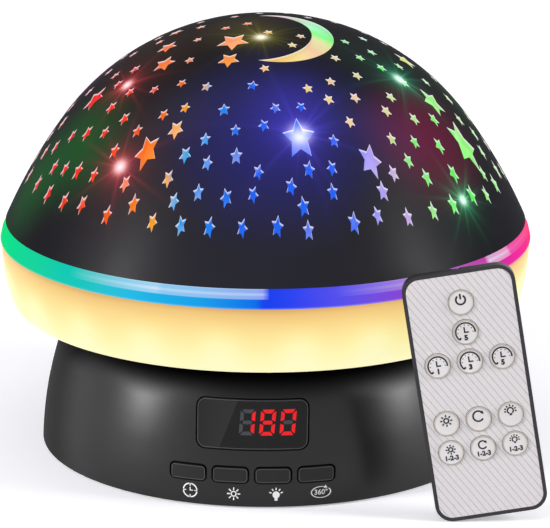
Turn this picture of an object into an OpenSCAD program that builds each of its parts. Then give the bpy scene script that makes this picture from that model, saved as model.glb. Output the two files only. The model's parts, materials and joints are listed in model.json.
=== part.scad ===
// Star night light projector: a fixed base with a display and buttons, and a
// turning head made of a glowing bowl, a colour ring and a perforated star dome.
// A card remote leans on it. The origin is the centre of the ring foot, on the
// table; +Z is up and -Y is the side with the display.

/* [Lamp] */
// Outer radius of the colour ring, the widest place
ring_r = 96; // [94:0.5:98]
// Height of the dome's top above the table
lamp_h = 155.8; // [153:0.2:158]
// Height of the bowl's underside above the table
bowl_z = 51.5; // [51:0.1:52]
// Height of the colour ring's lower edge
ring_z = 76.2; // [75.6:0.1:76.8]
// Height of the colour ring
ring_h = 6.7; // [6.2:0.1:7.2]
// Radius of the bowl's rounded lower edge
bowl_edge_r = 6.2; // [5:0.1:7]
// Radius of the bowl's side arc
bowl_side_r = 86; // [80:1:92]
// Wall of the bowl
bowl_wall = 2.2; // [1.8:0.1:2.4]

/* [Dome] */
// Radius of the dome's round cap
cap_r = 90.6; // [89:0.2:92]
// Angle from the top at which the cap ends
cap_angle = 53.6; // [52:0.2:55]
// Radius of the flatter arc of the dome's side
side_r = 198; // [190:2:210]
// Wall of the star dome
dome_wall = 1.2; // [1.1:0.1:2]
// Wall of the coloured dome inside it
inner_wall = 1.2; // [1:0.1:1.6]

/* [Stars] */
// Tip radius of the lowest small stars; they shrink a little towards the top
star_tip = 2.25; // [2:0.05:2.4]
// Valley radius of a star, as a share of its tip radius
star_valley = 0.5; // [0.42:0.01:0.54]
// Largest tilt of a star either way, in degrees
star_tilt = 26; // [0:1:36]
// Least distance between two small stars' centres
star_gap = 8; // [8:0.1:11]
// Height of the lowest row of small stars
star_low_z = 100; // [98:0.5:102]
// Seed of the small turns and shifts
star_seed = 11; // [1:1:40]

/* [Base] */
// Radius of the base at the table
base_r = 82; // [81:0.5:83]
// Radius of the arc of the base's side wall
base_side_r = 135; // [130:1:140]
// Wall of the base
base_wall = 2.4; // [2:0.1:2.8]
// Width of the display window
window_w = 39.4; // [37:0.2:41]
// Height of the display window
window_h = 17.6; // [16:0.2:18]
// Height of the display window's centre above the table
window_z = 29; // [28.5:0.1:29.5]
// Width of a button
button_w = 12.4; // [11.6:0.1:12.6]
// Height of a button
button_h = 5.3; // [4.8:0.1:5.6]
// Distance between two buttons' centres
button_pitch = 14.8; // [14.8:0.1:15.2]
// Height of the buttons' centres above the table
button_z = 11.8; // [11.4:0.1:12.2]

/* [Drive] */
// Gear module
gear_m = 1.5; // [1.5:0.1:1.5]
// Teeth of the ring gear
ring_teeth = 72; // [72:12:72]
// Teeth of the pinion
pinion_teeth = 12; // [12:12:12]

/* [Remote] */
// Width of the remote
remote_w = 38.5; // [38:0.5:41]
// Length of the remote
remote_l = 87; // [84:0.5:88]
// Thickness of the remote
remote_t = 6.5; // [6.5:0.1:7]
// Corner radius of the remote
remote_corner = 6; // [5:0.1:6.5]
// Bevel of the remote's rear edge
remote_bevel = 1.8; // [0.5:0.1:2]
// Radius of a key
key_r = 4.3; // [3.8:0.1:4.4]
// Distance between two keys in a row
key_pitch = 11; // [10.6:0.1:11.4]
// Turn of the remote about the upright
remote_yaw = 2; // [1:0.1:3]
// Backward lean of the remote
remote_lean = 3.2; // [1:0.1:3.6]
// Sideways tilt of the remote
remote_roll = 9.3; // [8:0.1:10]

/* [Hidden] */

smooth = 180;  // sides of a large round
fine = 48;     // sides of a small round
far = 200;     // longer than any piece

// Heights of the base and of the bearing
rim_z = bowl_z - 1.3;
deck_z = rim_z - 4.2;
deck_t = 2;
shell_z = 0.6;
plate_z = 1;
plate_t = 3;
collar_top = deck_z + 11;
collar_r = 30;
collar_seat_z = collar_top - 2.5;
recess_r = 65.5;
floor_t = 2.2;
tray_z = bowl_z + floor_t;
tray_t = 2.3;
bearing_gap = 0.08;

// The base's side arc: its centre lies across the axis
base_arc_x = base_r + 0.1 - base_side_r;
base_arc_z = -4.7;
function base_r_at(z) = base_arc_x + sqrt(pow(base_side_r, 2) - pow(z - base_arc_z, 2));

// The bowl's two arcs, which meet where their normals agree
bowl_bend = 14.3;
bowl_arc_x = ring_r - 0.3 - bowl_side_r;
bowl_arc_z = bowl_z + bowl_edge_r + (bowl_side_r - bowl_edge_r) * sin(bowl_bend);
edge_x = bowl_arc_x + (bowl_side_r - bowl_edge_r) * cos(bowl_bend);
edge_z = bowl_z + bowl_edge_r;

// The dome's two arcs, which meet at the bend
dome_z = ring_z + ring_h;
cap_z = lamp_h - cap_r;
bend_r = cap_r * sin(cap_angle);
bend_z = cap_z + cap_r * cos(cap_angle);
side_x = (cap_r - side_r) * sin(cap_angle);
side_z = cap_z + (cap_r - side_r) * cos(cap_angle);
dome_rim_r = side_x + sqrt(pow(side_r, 2) - pow(dome_z - side_z, 2));

// ---------- shapes used by several pieces ----------

module rounded(w, h, r) {
    square([w - 2 * r, h], center = true);
    square([w, h - 2 * r], center = true);
    for (x = [-1, 1], y = [-1, 1])
        translate([x * (w / 2 - r), y * (h / 2 - r)]) circle(r = r, $fn = fine);
}

// A ring of rectangular section about the upright axis
module ring(r_in, r_out, z0, z1) {
    difference() {
        translate([0, 0, z0]) cylinder(r = r_out, h = z1 - z0, $fn = smooth);
        translate([0, 0, z0 - 1]) cylinder(r = r_in, h = z1 - z0 + 2, $fn = smooth);
    }
}

// A prism that runs along Y from y0 to y1 with its outline in the XZ plane
module along_y(y0, y1, x = 0, z = 0) {
    translate([x, y1, z]) rotate([90, 0, 0]) linear_extrude(height = y1 - y0) children();
}

module around(n, r, first = 0) {
    for (i = [0 : n - 1]) rotate(first + 360 * i / n) translate([r, 0, 0]) children();
}

// A screw that points up, with its head's underside at z = 0
module screw(shank_r, shank_l, head_r, head_h) {
    cylinder(r = shank_r, h = shank_l, $fn = fine);
    difference() {
        translate([0, 0, -head_h]) cylinder(r = head_r, h = head_h, $fn = fine);
        for (a = [0, 90]) rotate(a)
            translate([-head_r * 0.6, -head_r * 0.13, -head_h - 1])
                cube([head_r * 1.2, head_r * 0.26, 1 + head_h * 0.5]);
    }
}

// ---------- base ----------

// Screws of the base plate and of the hub retainer
plate_screw_at = 66;
plate_screw_n = 4;
plate_screw_seat = plate_z + 1.6;
boss_r = 4;
retainer_screw_at = 27;
retainer_screw_n = 3;
retainer_screw_first = 30;

// The collar's bore for the wires and the wider seat of the lamp column
duct_r = 20;
seat_r = 24;

foot_in = 52;
foot_out = 59;
foot_top = plate_z + 1.2;
motor_y = gear_m * (ring_teeth - pinion_teeth) / 2;
nose_r = 5;
lug_x = 24;
usb_w = 8.9;
usb_h = 3.2;
usb_z = 9.6;
board_y = -60.4;
board_t = 1.6;
board_w = 62;
board_z0 = 5.2;
board_z1 = 41;
window_corner = 3.4;
button_gap = 0.45;
button_corner = 1.6;

// Distance from the axis of a plane just inside the base's side wall
wall_y = 65;

// Half outline of the base, taken in by inset all round the side
module base_outline(inset, z0 = shell_z, z1 = rim_z) {
    intersection() {
        translate([base_arc_x, base_arc_z]) circle(r = base_side_r - inset, $fn = 2 * smooth);
        translate([0, z0]) square([far, z1 - z0]);
    }
}

// A band of the base's wall between two depths below its surface
module wall_band(outer, inner) {
    rotate_extrude($fn = smooth) difference() {
        base_outline(outer);
        base_outline(inner, shell_z - 1, rim_z + 1);
    }
}

function button_x(i) = (i - 1.5) * button_pitch;

// An upright rail whose slot holds one edge of the control board
rail_w = 4;
rail_l = 6;
rail_lap = 1;
board_play = 0.15;
module board_rail() {
    difference() {
        translate([board_w / 2 - rail_lap, board_y - (board_t + rail_l) / 2, plate_z + plate_t])
            cube([rail_w, rail_l, board_z1 - plate_z - plate_t]);
        translate([0, board_y - board_t - board_play, 0])
            cube([board_w / 2 + board_play, board_t + 2 * board_play, far]);
    }
}

module base_shell() {
    color("#17171a") difference() {
        union() {
            difference() {
                rotate_extrude($fn = smooth) base_outline(0);
                rotate_extrude($fn = smooth) base_outline(base_wall, 0, deck_z - deck_t);
                translate([0, 0, deck_z]) cylinder(r = recess_r, h = far, $fn = smooth);
            }
            translate([0, 0, deck_z - deck_t])
                cylinder(r = collar_r, h = collar_top - deck_z + deck_t, $fn = smooth);
            around(plate_screw_n, plate_screw_at, 45)
                translate([0, 0, plate_z + plate_t])
                    cylinder(r = boss_r, h = deck_z - plate_z - plate_t - 1, $fn = fine);
            for (side = [0, 1]) mirror([side, 0, 0]) board_rail();
        }
        translate([0, 0, deck_z - far / 2]) cylinder(r = duct_r, h = far, $fn = smooth);
        translate([0, 0, collar_seat_z]) cylinder(r = seat_r, h = far, $fn = smooth);
        around(retainer_screw_n, retainer_screw_at, retainer_screw_first)
            translate([0, 0, collar_top - 6]) cylinder(r = 0.9, h = far, $fn = fine);
        around(plate_screw_n, plate_screw_at, 45)
            translate([0, 0, plate_z]) cylinder(r = 1.5, h = 14, $fn = fine);
        translate([0, motor_y, deck_z - far / 2]) cylinder(r = nose_r + 0.3, h = far, $fn = fine);
        for (x = [-lug_x, lug_x])
            translate([x, motor_y, deck_z - deck_t - 1]) cylinder(r = 1, h = 2.5, $fn = fine);
        along_y(-far, -wall_y, 0, window_z) rounded(window_w, window_h, window_corner);
        for (i = [0 : 3])
            along_y(-far, -wall_y, button_x(i), button_z)
                rounded(button_w + 2 * button_gap, button_h + 2 * button_gap,
                        button_corner + button_gap);
        along_y(wall_y, far, 0, usb_z) rounded(usb_w + 1.6, usb_h + 1.6, 2.2);
    }
}

module base_plate() {
    plate_r = base_r_at(plate_z + plate_t) - base_wall - 0.2;
    color("#1c1c1e") difference() {
        union() {
            translate([0, 0, plate_z]) cylinder(r = plate_r, h = plate_t, $fn = smooth);
            for (x = [-11, 11], y = [60, 72])
                translate([x, y, plate_z]) cylinder(r = 1.8, h = power_board_z - plate_z, $fn = fine);
        }
        ring(foot_in - 0.2, foot_out + 0.2, 0, foot_top);
        around(plate_screw_n, plate_screw_at, 45) {
            cylinder(r = 3.5, h = plate_screw_seat, $fn = fine);
            cylinder(r = 1.7, h = far, $fn = fine);
        }
    }
}

module anti_slip_ring() {
    color("#2b2b2b") ring(foot_in, foot_out, 0, foot_top);
}

module base_screws() {
    color("silver") around(plate_screw_n, plate_screw_at, 45)
        translate([0, 0, plate_screw_seat]) screw(1.4, 11, 3.1, 1.3);
}

module display_window() {
    color("#0c0c12") intersection() {
        wall_band(0.1, 1.9);
        along_y(-far, -wall_y, 0, window_z)
            rounded(window_w - 0.5, window_h - 0.5, window_corner - 0.25);
    }
}

// The digits stand right of the window's centre, the receiver left of it
digits_x = 5.2;
digits_z = window_z + 1;
digits_size = [22.8, 7, 14];
module display_module() {
    color("#202024")
        translate([
            digits_x - digits_size.x / 2, board_y - board_t - digits_size.y,
            digits_z - digits_size.z / 2,
        ])
            cube(digits_size);
}

receiver_x = -12.5;
receiver_size = [6, 4, 7];
module ir_receiver() {
    front_y = board_y - board_t - receiver_size.y;
    color("#141414") {
        translate([receiver_x - receiver_size.x / 2, front_y, window_z - receiver_size.z / 2])
            cube(receiver_size);
        translate([receiver_x, front_y, window_z]) sphere(r = 2.4, $fn = fine);
    }
}

module control_board() {
    color("#1d5b33") translate([-board_w / 2, board_y - board_t, board_z0])
        cube([board_w, board_t, board_z1 - board_z0]);
}

switch_w = 6;
switch_t = 4;
stem_r = 1.5;
switch_y = board_y - board_t - switch_t;
module tact_switches() {
    color("#3a3a3c") for (i = [0 : 3])
        difference() {
            translate([button_x(i) - switch_w / 2, switch_y, button_z - switch_w / 2])
                cube([switch_w, switch_t, switch_w]);
            along_y(switch_y - 1, switch_y + 2.8, button_x(i), button_z)
                circle(r = stem_r + 0.06, $fn = fine);
        }
}

// A push button: a cap that follows the wall, a flange behind the wall that
// holds it in, and a stem that runs in its switch
module push_button(i) {
    x = button_x(i);
    back_y = -sqrt(pow(base_r_at(button_z) - base_wall - 1, 2) - x * x);
    color("#232326") {
        intersection() {
            wall_band(-0.5, base_wall + 1.2);
            along_y(-far, -60, x, button_z) rounded(button_w, button_h, button_corner);
        }
        intersection() {
            wall_band(base_wall + 0.1, base_wall + 1.2);
            along_y(-far, -60, x, button_z)
                rounded(button_w + 1.9, button_h + 2, button_corner);
        }
        along_y(back_y, switch_y + 0.8, x, button_z) circle(r = stem_r, $fn = fine);
    }
}

power_board_z = plate_z + 5.4;
module power_board() {
    color("#1d5b33") translate([-14, 56, power_board_z]) cube([28, 20, board_t]);
}

// The inlet's shell, its closed rear end and the tongue inside it
usb_y0 = 72.6;
usb_y1 = 80.2;
usb_floor_y = usb_y0 + 1.4;
module usb_inlet() {
    color("silver") difference() {
        along_y(usb_y0, usb_y1, 0, usb_z) rounded(usb_w, usb_h, 1.5);
        along_y(usb_floor_y, far, 0, usb_z) rounded(usb_w - 0.6, usb_h - 0.6, 1.2);
    }
    color("#222222") along_y(usb_floor_y, usb_y1 - 0.8, 0, usb_z)
        square([usb_w - 2.2, 0.7], center = true);
}

// ---------- drive ----------

gear_z = deck_z + 2;
pinion_z = gear_z + 0.3;
pinion_h = 4.9;
shaft_r = 1.98;
shaft_depth = 4.8;
tooth_add = 0.75 * gear_m;
tooth_ded = 1.05 * gear_m;
backlash = 0.4;

// Half the angle that a tooth fills at radius r, for a gear of pitch radius p;
// out is 1 for teeth that point outwards and -1 for teeth that point inwards
function tooth_half(p, r, out) =
    (PI * gear_m / 4 - backlash / 2 - out * (r - p) * tan(20)) / r * 180 / PI;

// Outline of a gear whose radii at the teeth's feet and tips are given
function gear_points(n, p, foot, tip, out, first) = [
    for (i = [0 : n - 1], c = [[foot, -1], [tip, -1], [tip, 1], [foot, 1]])
        let (a = first + 360 * i / n + c[1] * tooth_half(p, c[0], out))
            c[0] * [cos(a), sin(a)]
];

// A can motor under a wider gearbox that hangs from the deck by two lugs
can_r = 12.2;
can_h = 12;
gearbox_r = 18.5;
gearbox_h = 6;
lug_r = 4;
lug_t = 2;
motor_top = deck_z - deck_t;
module drive_motor() {
    color("#b9bcc0") translate([0, motor_y, 0]) difference() {
        union() {
            translate([0, 0, motor_top - gearbox_h - can_h])
                cylinder(r = can_r, h = can_h, $fn = smooth);
            translate([0, 0, motor_top - gearbox_h])
                cylinder(r = gearbox_r, h = gearbox_h, $fn = smooth);
            translate([0, 0, motor_top - lug_t]) linear_extrude(height = lug_t) {
                square([2 * lug_x, 2 * lug_r], center = true);
                for (x = [-lug_x, lug_x]) translate([x, 0]) circle(r = lug_r, $fn = fine);
            }
            translate([0, 0, motor_top - gearbox_h])
                cylinder(r = nose_r, h = deck_z - 0.3 - motor_top + gearbox_h, $fn = fine);
        }
        translate([0, 0, motor_top - shaft_depth - 0.2])
            cylinder(r = shaft_r + 0.06, h = far, $fn = fine);
        for (x = [-lug_x, lug_x]) translate([x, 0, 0]) cylinder(r = 1.2, h = far, $fn = fine);
    }
}

module motor_screws() {
    color("silver") for (x = [-lug_x, lug_x])
        translate([x, motor_y, motor_top - lug_t]) screw(0.95, 3.2, 2.1, 1.1);
}

module motor_shaft() {
    z0 = motor_top - shaft_depth;
    color("#9a9da1") translate([0, motor_y, z0])
        cylinder(r = shaft_r, h = pinion_z + pinion_h - z0, $fn = fine);
}

module drive_pinion() {
    p = gear_m * pinion_teeth / 2;
    color("#e6e2d6") translate([0, motor_y, pinion_z])
        linear_extrude(height = pinion_h) difference() {
            polygon(gear_points(pinion_teeth, p, p - tooth_ded, p + tooth_add, 1, 90));
            circle(r = shaft_r + 0.02, $fn = fine);
        }
}

// The internal ring gear; a gap between two teeth stands over the pinion
module ring_gear() {
    p = gear_m * ring_teeth / 2;
    color("#e6e2d6") translate([0, 0, gear_z])
        linear_extrude(height = tray_z - gear_z) difference() {
            circle(r = p + 7, $fn = smooth);
            polygon(gear_points(ring_teeth, p, p + tooth_ded, p - tooth_add, -1,
                                90 + 180 / ring_teeth));
        }
}

// ---------- bearing and fixed lamp post ----------

retainer_t = 1.6;
column_r = 16;
post_r = 13.5;
carrier_z = bowl_z + 10.5;
carrier_r = 84;
post_top = ring_z + 1.8;

module slide_washer() {
    color("white") ring(collar_r + 0.1, collar_r + 3.5, deck_z, deck_z + 1);
}

module hub_retainer() {
    color("#2a2a2c") difference() {
        ring(column_r + 0.4, collar_r + 3, collar_top, collar_top + retainer_t);
        around(retainer_screw_n, retainer_screw_at, retainer_screw_first)
            cylinder(r = 1.1, h = far, $fn = fine);
    }
}

module retainer_screws() {
    color("silver") around(retainer_screw_n, retainer_screw_at, retainer_screw_first)
        translate([0, 0, collar_top + retainer_t]) mirror([0, 0, 1]) screw(0.85, 6.5, 2, 1.1);
}

module led_column() {
    color("#e9e9ea") difference() {
        union() {
            translate([0, 0, collar_seat_z])
                cylinder(r = seat_r - 0.2, h = collar_top - collar_seat_z, $fn = smooth);
            translate([0, 0, collar_seat_z])
                cylinder(r = column_r, h = carrier_z - collar_seat_z, $fn = smooth);
            translate([0, 0, carrier_z])
                cylinder(r = post_r, h = post_top - carrier_z, $fn = smooth);
        }
        translate([0, 0, collar_seat_z - 1]) cylinder(r = 11, h = far, $fn = smooth);
    }
}

// Tray of the lamps: a pierced disc with an upstand for the colour strip
carrier_t = 2;
upstand_t = 1.9;
vent_n = 8;
vent_at = 42;
vent_r = 11;
module led_carrier() {
    color("#f1f1ef") difference() {
        rotate_extrude($fn = smooth) {
            translate([post_r + 0.1, carrier_z])
                square([carrier_r + upstand_t - post_r - 0.1, carrier_t]);
            translate([carrier_r, carrier_z]) square([upstand_t, dome_z - carrier_z - 1]);
        }
        around(vent_n, vent_at)
            translate([0, 0, carrier_z - 1]) cylinder(r = vent_r, h = carrier_t + 2, $fn = smooth);
    }
}

// Width of a star or colour LED's case
led_w = 5;
star_led_n = 4;
star_led_at = 9;
module star_led_board() {
    color("#f4f4f2") translate([0, 0, post_top]) cylinder(r = 20, h = board_t, $fn = smooth);
    color("#fff7cf") around(star_led_n, star_led_at, 45)
        translate([-led_w / 2, -led_w / 2, post_top + board_t]) cube([led_w, led_w, 1.4]);
}

rgb_led_n = 36;
strip_t = 0.5;
module rgb_led_strip() {
    r = carrier_r + upstand_t;
    color("#f4f4f2") ring(r, r + strip_t, ring_z - 2, dome_z - 1.2);
    color("#fffbe0") around(rgb_led_n, r + strip_t - 0.1)
        translate([0, -led_w / 2, ring_z + ring_h / 2 - 3.4]) cube([1.5, led_w, led_w]);
}

warm_led_n = 22;
warm_led_at = 76;
warm_led_size = [3.5, 2.8, 1.1];
module warm_led_ring() {
    color("#f4f4f2") ring(warm_led_at - 6, warm_led_at + 5, carrier_z - board_t, carrier_z);
    color("#ffd98a") around(warm_led_n, warm_led_at)
        translate([-warm_led_size.x / 2, -warm_led_size.y / 2, carrier_z - board_t - 1])
            cube(warm_led_size);
}

// ---------- head ----------

// Posts of the bowl that the head tray is screwed to
bowl_post_n = 6;
bowl_post_at = 73.5;
bowl_post_r = 2.6;

// Half outline of the bowl, taken in by inset, from height z0 up
module bowl_outline(inset, z1) {
    intersection() {
        union() {
            intersection() {
                translate([bowl_arc_x, bowl_arc_z])
                    circle(r = bowl_side_r - inset, $fn = 2 * smooth);
                translate([0, edge_z - (bowl_edge_r - inset) * sin(bowl_bend)])
                    square([far, far]);
            }
            translate([edge_x, edge_z]) circle(r = bowl_edge_r - inset, $fn = smooth);
            translate([0, bowl_z + inset]) square([edge_x, bowl_edge_r]);
        }
        square([far, z1]);
    }
}

module warm_diffuser() {
    color("#ffe2a0") difference() {
        union() {
            rotate_extrude($fn = smooth) difference() {
                bowl_outline(0, ring_z);
                bowl_outline(bowl_wall, ring_z + 1);
                square([recess_r + 3.5, far]);
            }
            around(bowl_post_n, bowl_post_at) translate([0, 0, bowl_z + 0.4])
                cylinder(r = bowl_post_r, h = tray_z + tray_t - bowl_z - 0.4, $fn = fine);
        }
        around(bowl_post_n, bowl_post_at)
            translate([0, 0, tray_z - 0.6]) cylinder(r = 1, h = far, $fn = fine);
    }
}

module head_tray() {
    color("#1c1c1e") difference() {
        union() {
            ring(collar_r + bearing_gap, 33.6, deck_z + 1.15, collar_top - 0.2);
            ring(33.5, bowl_post_at + 5.5, tray_z, tray_z + tray_t);
        }
        around(bowl_post_n, bowl_post_at)
            translate([0, 0, tray_z - 1]) cylinder(r = bowl_post_r + 0.3, h = far, $fn = fine);
    }
}

module head_screws() {
    color("silver") around(bowl_post_n, bowl_post_at)
        translate([0, 0, tray_z + tray_t]) mirror([0, 0, 1]) screw(0.95, 2.8, 3.6, 1.2);
}

// The light guide: an upright lower band and a leaning upper band
guide_t = 6.8;
module rgb_light_ring() {
    color("#9fd8ff") rotate_extrude($fn = smooth) polygon([
        [ring_r - guide_t, ring_z],
        [ring_r - 0.15, ring_z],
        [ring_r, ring_z + 0.3],
        [ring_r - 0.7, ring_z + ring_h * 0.5],
        [dome_rim_r - 0.9, dome_z],
        [ring_r - guide_t, dome_z],
    ]);
}

// Half outline of the dome, taken in by inset, from height z0 up
module dome_outline(inset, z0) {
    inner_bend_z = bend_z - inset * cos(cap_angle);
    intersection() {
        translate([0, cap_z]) circle(r = cap_r - inset, $fn = 2 * smooth);
        translate([0, z0]) square([far, far]);
    }
    intersection() {
        translate([side_x, side_z]) circle(r = side_r - inset, $fn = 4 * smooth);
        translate([0, z0]) square([far, inner_bend_z - z0]);
    }
}

module dome_skin(outer, inner) {
    rotate_extrude($fn = smooth) difference() {
        dome_outline(outer, dome_z);
        dome_outline(inner, dome_z - 1);
    }
}

module inner_dome() {
    color("#7f6bd6") dome_skin(dome_wall + 0.3, dome_wall + 0.3 + inner_wall);
}

// ---------- star field, in plan ----------

// Large stars: turn about the axis from the front, plan radius, tip radius, tilt
large_stars = [
    [-23, 25.5, 5.9, 14], [-17, 36.5, 4, 23], [-51, 43.5, 4.1, -20], [-66, 37, 3.8, -22],
    [-90, 32, 2.8, 10], [-70, 63, 4.4, -8], [-31.5, 71, 4.5, 33], [-25, 64.5, 2.9, 20],
    [13.5, 65.5, 5.8, 0], [33, 72.5, 4.2, 27], [72, 75, 6.6, 34], [72.5, 63, 4.8, -1],
    [90, 50, 4.2, 8], [112, 68, 4.8, 30], [128, 52, 3.4, 12], [146, 70, 6, -16],
    [163, 58, 4.4, 20], [140, 30, 5.4, 5], [186, 72, 5, -28], [200, 46, 4.6, 18],
    [215, 66, 3.6, -10], [228, 74, 6, 31], [243, 57, 4.8, 4], [222, 26, 3.6, -24],
    [258, 71, 4, 15],
];
moon_at = [4.5, -16];
moon_r = 20.5;
moon_bite_at = [-2.3, -16.4];
moon_bite_r = 19.6;

// A place on the dome is [turn about the axis from the front, plan radius, ...]
function in_plan(p) = p[1] * [sin(p[0]), -cos(p[0])];
function on_dome(p) = concat(in_plan(p), dome_h(p[1]));

// Height of the dome's surface at plan radius r
function dome_h(r) = r < bend_r
    ? cap_z + sqrt(pow(cap_r, 2) - r * r)
    : side_z + sqrt(pow(side_r, 2) - pow(r - side_x, 2));

// Plan radius of the place that lies a path length s down the dome from its top
cap_path = cap_r * cap_angle * PI / 180;
function path_r(s) = s < cap_path
    ? cap_r * sin(s / cap_r * 180 / PI)
    : side_x + side_r * sin(cap_angle + (s - cap_path) / side_r * 180 / PI);
low_path = cap_path + side_r * (acos((star_low_z - side_z) / side_r) - cap_angle) * PI / 180;

// Rows of candidates from the lowest up; each star strays from its row
row_step = 5.6;
row_count = floor(low_path / row_step) + 1;
row_space = 1.2;
low_row_space = 3;
shake = rands(-1, 1, 2400, star_seed);
function row_stars(k) =
    let (
        s = low_path - k * row_step,
        step = star_gap + (k == 0 ? low_row_space : row_space),
        n = max(1, floor(2 * PI * path_r(s) / step))
    )
    [for (i = [0 : n - 1])
        let (j = 2 * (i + 67 * k) % 2300)
        [
            360 * (i + 0.5 * (k % 2) + 0.3 * shake[j]) / n,
            path_r(max(s - (k == 0 ? 1.2 * (1 + shake[j + 1]) : 2.4 * shake[j + 1]), 0)),
        ]];
candidates = [for (k = [0 : row_count - 1]) each row_stars(k)];

// How far a candidate keeps from the large stars and from the moon
function clear_of_large(c) = len([for (s = large_stars)
    if (norm(on_dome(c) - on_dome(s)) < 1.25 * s[2] + star_tip + 1.6) 1]) == 0;
function clear_of_moon(c) =
    norm(in_plan(c) - moon_at) > moon_r + star_tip + 1.2
    || norm(in_plan(c) - moon_bite_at) < moon_bite_r - star_tip - 1.4;
function clear_of_stars(c, kept) = len([for (k = kept)
    if (norm(on_dome(c) - on_dome(k)) < star_gap) 1]) == 0;
function thinned(list, i = 0, kept = []) = i == len(list) ? kept :
    thinned(list, i + 1, clear_of_stars(list[i], kept) ? concat(kept, [list[i]]) : kept);
small_stars = thinned([for (c = candidates) if (clear_of_large(c) && clear_of_moon(c)) c]);

// A star-shaped hole with one tip up the slope but for its tilt. Each hole is
// drawn straight up, as a mould pulls, through the arc of the dome that it lies on.
module star_hole(turn, r, tip, tilt) {
    z0 = r + tip < bend_r - 3 ? bend_z + 0.5 : dome_z + 2;
    z1 = r - tip > bend_r + 2 ? bend_z - 0.5 : lamp_h + 1;
    rotate(turn) translate([0, -r, z0]) linear_extrude(height = z1 - z0)
        polygon([for (i = [0 : 9])
            (i % 2 == 0 ? tip : tip * star_valley) * [sin(36 * i + tilt), cos(36 * i + tilt)]]);
}

module moon_hole() {
    translate([0, 0, bend_z]) linear_extrude(height = far) difference() {
        translate(moon_at) circle(r = moon_r, $fn = smooth);
        translate(moon_bite_at) circle(r = moon_bite_r, $fn = smooth);
    }
}

module star_dome() {
    color("#1b1b20") difference() {
        dome_skin(0, dome_wall);
        for (s = large_stars) star_hole(s[0], s[1], s[2], s[3]);
        for (i = [0 : len(small_stars) - 1])
            let (s = small_stars[i], tip = star_tip * (0.84 + 0.16 * s[1] / ring_r))
                star_hole(s[0], s[1], tip * (0.95 + 0.09 * shake[i]), star_tilt * shake[i + 9]);
        moon_hole();
    }
}

// ---------- remote ----------

// In its own frame the remote stands on its lower edge, with its face at y = 0
face_t = 3.4;
side_t = 4.2;
margin = 1.3;
case_wall = 1.6;
key_gap = 0.2;
row_drop = [11.1, 21.5, 31.8, 52.3, 62.7];
row_z = [for (d = row_drop) remote_l - d];
key_spots = [
    [0, 0], [0, 1], [-1, 2], [0, 2], [1, 2], [-1, 3], [0, 3], [1, 3], [-1, 4], [0, 4], [1, 4],
];
cell_z = 24;
cover_w = 26;
cover_z0 = 9;
cover_l = 29;
cover_travel = 5;
corner_drop = remote_corner - remote_corner * cos(remote_roll)
    + (remote_w / 2 - remote_corner) * sin(remote_roll);
remote_at = [
    83.5, -90.5,
    corner_drop * cos(remote_lean) + side_t * sin(remote_lean),
];

module in_place() {
    translate(remote_at) rotate([0, 0, remote_yaw]) rotate([-remote_lean, 0, 0])
        rotate([0, -remote_roll, 0]) children();
}

// A slab with the remote's outline, taken in by inset, between two depths
module slab(inset, y0, y1) {
    along_y(y0, y1, 0, remote_l / 2)
        rounded(remote_w - 2 * inset, remote_l - 2 * inset, max(remote_corner - inset, 1));
}

module key_holes(r, y0, y1) {
    for (k = key_spots)
        along_y(y0, y1, k[0] * key_pitch, row_z[k[1]]) circle(r = r, $fn = fine);
}

module led_hole() {
    translate([0, face_t, remote_l - 3]) cylinder(r = 1.6, h = 10, $fn = fine);
}

module remote_front_case() {
    color("#2e2e31") in_place() difference() {
        slab(0, 0, face_t);
        slab(margin - 0.1, -1, 0.6);
        slab(case_wall, 1.6, face_t + 1);
        key_holes(key_r + key_gap, -1, 3);
        led_hole();
    }
}

// The rear half; its side is upright for a little, then runs in to the back
module remote_back_case() {
    color("#2e2e31") in_place() difference() {
        hull() {
            slab(0, face_t, side_t);
            slab(remote_bevel, face_t, remote_t);
        }
        slab(case_wall, face_t - 1, remote_t - 1.3);
        translate([-cover_w / 2 - 0.3, remote_t - 0.9, cover_z0 - cover_travel - 0.3])
            cube([cover_w + 0.6, 2, cover_l + cover_travel + 0.6]);
        along_y(face_t, far, 0, cell_z) circle(r = 10.4, $fn = smooth);
        led_hole();
    }
}

module remote_overlay() {
    color("#dcdada") in_place() difference() {
        slab(margin, 0.05, 0.55);
        key_holes(key_r + key_gap, -1, 3);
    }
}

module remote_key(i) {
    color("#c9c2b4") in_place()
        along_y(-0.45, 1.5, key_spots[i][0] * key_pitch, row_z[key_spots[i][1]])
            circle(r = key_r, $fn = fine);
}

led_r = 1.5;
led_l = 7.2;
module led_notch() {
    translate([0, face_t, remote_l - led_l - 1]) cylinder(r = led_r + 0.3, h = 20, $fn = fine);
}

module key_sheet() {
    color("#d8d8d4") in_place() difference() {
        slab(2.2, 1.95, 2.2);
        led_notch();
    }
}

module remote_board() {
    color("#1d5b33") in_place() difference() {
        slab(2.2, 2.3, 2.9);
        led_notch();
    }
}

module remote_ir_led() {
    color("#3b3448") in_place() translate([0, face_t, remote_l - led_l]) {
        cylinder(r = led_r, h = led_l - led_r, $fn = fine);
        translate([0, 0, led_l - led_r]) sphere(r = led_r, $fn = fine);
    }
}

module battery_cover() {
    color("#2e2e31") in_place() difference() {
        translate([-cover_w / 2, remote_t - 0.8, cover_z0]) cube([cover_w, 0.8, cover_l]);
        for (i = [0 : 3])
            translate([-6, remote_t - 0.3, cover_z0 + 3 + 1.6 * i]) cube([12, 1, 0.8]);
    }
}

module coin_cell() {
    color("silver") in_place() along_y(face_t - 0.4, remote_t - 1, 0, cell_z)
        circle(r = 10, $fn = smooth);
}

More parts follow.
